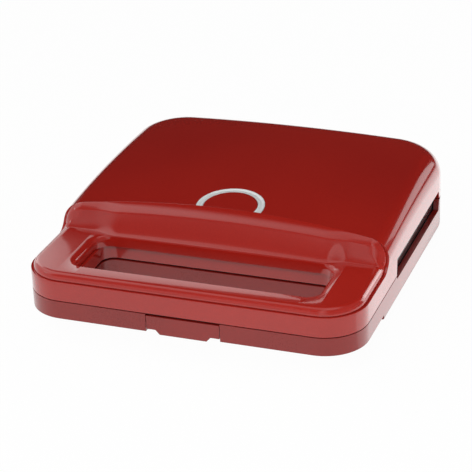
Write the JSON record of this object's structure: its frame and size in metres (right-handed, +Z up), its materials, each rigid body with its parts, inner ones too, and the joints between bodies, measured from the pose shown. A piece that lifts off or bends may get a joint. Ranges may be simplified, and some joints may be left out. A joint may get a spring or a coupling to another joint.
{
  "type": "sandwich maker",
  "caption": "Electric sandwich maker with a crowned lid hinged at the back, ribbed hot plates, a hand slot through both handles and a front latch.",
  "frame": {"origin": "on the table, under the middle of the whole object's box, hinge knuckles included", "axes": "+Z up, -Y to the front with the handle and latch, +Y to the hinge, +X to the right seen from the front"},
  "size_m": [0.23, 0.2518, 0.0712],
  "materials": {
    "red_gloss_plastic": "deep red gloss",
    "red_satin_plastic": "deep red, a little duller",
    "chrome_trim": "satin chrome",
    "non_stick_aluminium": "black non-stick coating",
    "black_plastic": "matt black",
    "plated_steel": "plated",
    "aluminium_sheet": "mill",
    "rubber": "matt",
    "ceramic": "unglazed off-white"
  },
  "bodies": {
    "base": {"base_shell": "red_satin_plastic", "lower_handle_plate": "black_plastic", "lower_hot_plate": "non_stick_aluminium", "base_inner_frame": "black_plastic", "lower_heating_element": "plated_steel", "lower_heat_shield": "aluminium_sheet", "lower_thermal_fuse": "ceramic", "thermostat": "ceramic", "terminal_block": "ceramic", "cord_gland": "black_plastic", "hinge_pin_left": "plated_steel", "hinge_pin_right": "plated_steel", "latch_pin": "plated_steel", "latch_spring": "plated_steel", "foot_1": "rubber", "foot_2": "rubber", "foot_3": "rubber", "foot_4": "rubber", "base_screw_1": "plated_steel", "base_screw_2": "plated_steel", "base_screw_3": "plated_steel", "base_screw_4": "plated_steel"},
    "lid": {"lid_cover": "red_gloss_plastic", "handle_cap": "red_gloss_plastic", "trim_ring": "chrome_trim", "lid_inner_frame": "black_plastic", "upper_handle_plate": "black_plastic", "upper_hot_plate": "non_stick_aluminium", "upper_heating_element": "plated_steel", "upper_heat_shield": "aluminium_sheet", "upper_thermal_fuse": "ceramic", "lid_screw_1": "plated_steel", "lid_screw_2": "plated_steel", "lid_screw_3": "plated_steel", "lid_screw_4": "plated_steel"},
    "latch": {"latch": "red_satin_plastic"}
  },
  "joints": [
    {"name": "lid_hinge", "type": "hinge", "parent": "base", "child": "lid", "pos_m": [0, 0.12135, 0.036], "axis": [-1, 0, 0], "range_deg": [0, 105]},
    {"name": "latch_pivot", "type": "hinge", "parent": "base", "child": "latch", "pos_m": [0, -0.11835, 0.0225], "axis": [-1, 0, 0], "range_deg": [0, 12], "stiffness_Nm_per_rad": 0.01, "springref_deg": -22.92}
  ]
}
